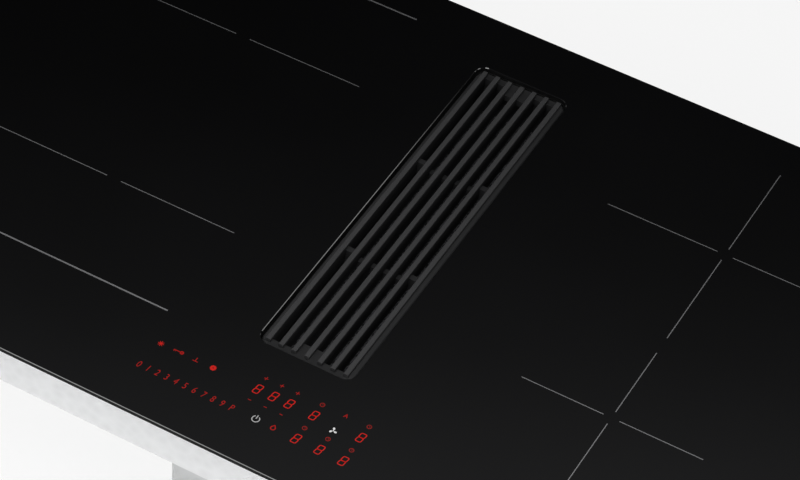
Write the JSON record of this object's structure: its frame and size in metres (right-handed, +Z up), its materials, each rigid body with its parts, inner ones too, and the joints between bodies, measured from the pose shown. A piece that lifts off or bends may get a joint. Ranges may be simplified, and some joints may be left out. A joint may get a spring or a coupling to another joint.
{
  "type": "downdraft induction cooktop",
  "caption": "Black glass induction cooktop with a central downdraft grille, lift-out grease filter and drip tray, and a blower box with a flat duct outlet below.",
  "frame": {"origin": "centre of the overall box, on the plane that the cooktop stands on", "axes": "+X to the cook's right, +Y to the back, +Z up"},
  "size_m": [0.83, 0.515, 0.212],
  "materials": {
    "black_glass": "polished black glass ceramic",
    "seal_foam": "closed-cell foam",
    "silicone": "satin silicone",
    "galvanised_steel": "galvanised sheet",
    "collar_plastic": "matt moulded plastic",
    "grille_iron": "fine matt enamel on cast metal",
    "filter_steel": "stainless sheet",
    "filter_aluminium": "layered expanded mesh",
    "tray_plastic": "satin moulded plastic",
    "copper_litz": "lacquered stranded copper",
    "coil_plastic": "glass-filled plastic",
    "ferrite": "sintered ferrite",
    "insulation_felt": "ceramic fibre felt",
    "spring_steel": "spring steel",
    "sheet_aluminium": "mill finish sheet",
    "circuit_board": "green solder mask",
    "fan_plastic": "moulded plastic",
    "display_red": "dark red display window",
    "box_plastic": "pale grey moulded plastic",
    "blower_plastic": "moulded plastic",
    "motor_steel": "painted steel can",
    "screw_steel": "zinc plated",
    "terminal_plastic": "grey moulded plastic"
  },
  "bodies": {
    "housing": {"glass_plate": "black_glass", "worktop_seal": "seal_foam", "glass_adhesive": "silicone", "carrier_frame": "galvanised_steel", "base_pan": "galvanised_steel", "intake_collar": "collar_plastic", "collar_seal": "seal_foam", "ferrite_bars": "ferrite", "coil_insulation_sheets": "insulation_felt", "coil_springs": "spring_steel", "touch_carrier": "coil_plastic", "touch_board": "circuit_board", "display_modules": "display_red", "air_box": "box_plastic", "box_gasket": "seal_foam", "bottom_cover": "box_plastic", "bottom_cover_screws": "screw_steel", "scroll_base": "blower_plastic", "scroll_cover": "blower_plastic", "inlet_ring": "galvanised_steel", "blower_motor": "motor_steel", "motor_screws": "screw_steel", "outlet_spigot": "box_plastic", "terminal_box": "terminal_plastic", "lid_hinge_bracket": "terminal_plastic", "terminal_block": "insulation_felt", "cable_gland": "fan_plastic", "mounting_springs": "spring_steel", "mounting_spring_screws": "screw_steel", "coil_winding_left_front": "copper_litz", "coil_carrier_left_front": "coil_plastic", "coil_winding_left_rear": "copper_litz", "coil_carrier_left_rear": "coil_plastic", "coil_winding_right_front": "copper_litz", "coil_carrier_right_front": "coil_plastic", "coil_winding_right_rear": "copper_litz", "coil_carrier_right_rear": "coil_plastic", "coil_plate_left": "sheet_aluminium", "board_tray_left": "coil_plastic", "power_board_left": "circuit_board", "heat_sink_left": "sheet_aluminium", "fan_housing_left": "fan_plastic", "coil_plate_right": "sheet_aluminium", "board_tray_right": "coil_plastic", "power_board_right": "circuit_board", "heat_sink_right": "sheet_aluminium", "fan_housing_right": "fan_plastic"},
    "grille": {"grille": "grille_iron", "grille_pads": "silicone"},
    "grease_filter": {"filter_frame": "filter_steel", "filter_mesh": "filter_aluminium", "filter_handle": "filter_steel"},
    "drip_tray": {"drip_tray": "tray_plastic"},
    "blower_wheel": {"impeller_disc": "blower_plastic", "impeller_blades": "blower_plastic", "impeller_ring": "blower_plastic", "impeller_shaft": "screw_steel"},
    "fan_rotor_left": {"fan_rotor_left": "fan_plastic"},
    "fan_rotor_right": {"fan_rotor_right": "fan_plastic"},
    "terminal_lid": {"terminal_lid": "terminal_plastic"}
  },
  "joints": [
    {"name": "grille_lift", "type": "slide", "parent": "housing", "child": "grille", "axis": [0, 0, 1], "range_m": [0, 0.45]},
    {"name": "filter_lift", "type": "slide", "parent": "housing", "child": "grease_filter", "axis": [0, 0, 1], "range_m": [0, 0.33]},
    {"name": "tray_lift", "type": "slide", "parent": "housing", "child": "drip_tray", "axis": [0, 0, 1], "range_m": [0, 0.22]},
    {"name": "blower_spin", "type": "hinge", "parent": "housing", "child": "blower_wheel", "pos_m": [0.18, -0.015, 0.06], "axis": [0, 0, 1], "continuous": true},
    {"name": "fan_left_spin", "type": "hinge", "parent": "housing", "child": "fan_rotor_left", "pos_m": [-0.3, -0.201, 0.162], "axis": [0, 0, 1], "continuous": true},
    {"name": "fan_right_spin", "type": "hinge", "parent": "housing", "child": "fan_rotor_right", "pos_m": [0.3, -0.201, 0.162], "axis": [0, 0, 1], "continuous": true},
    {"name": "terminal_lid_hinge", "type": "hinge", "parent": "housing", "child": "terminal_lid", "pos_m": [-0.27, 0.1387, 0.126], "axis": [-1, 0, 0], "range_deg": [0, 100]}
  ],
  "couplings": [
    {"joint": "filter_lift", "follows": "grille_lift", "ratio": 0.72},
    {"joint": "tray_lift", "follows": "grille_lift", "ratio": 0.48}
  ]
}
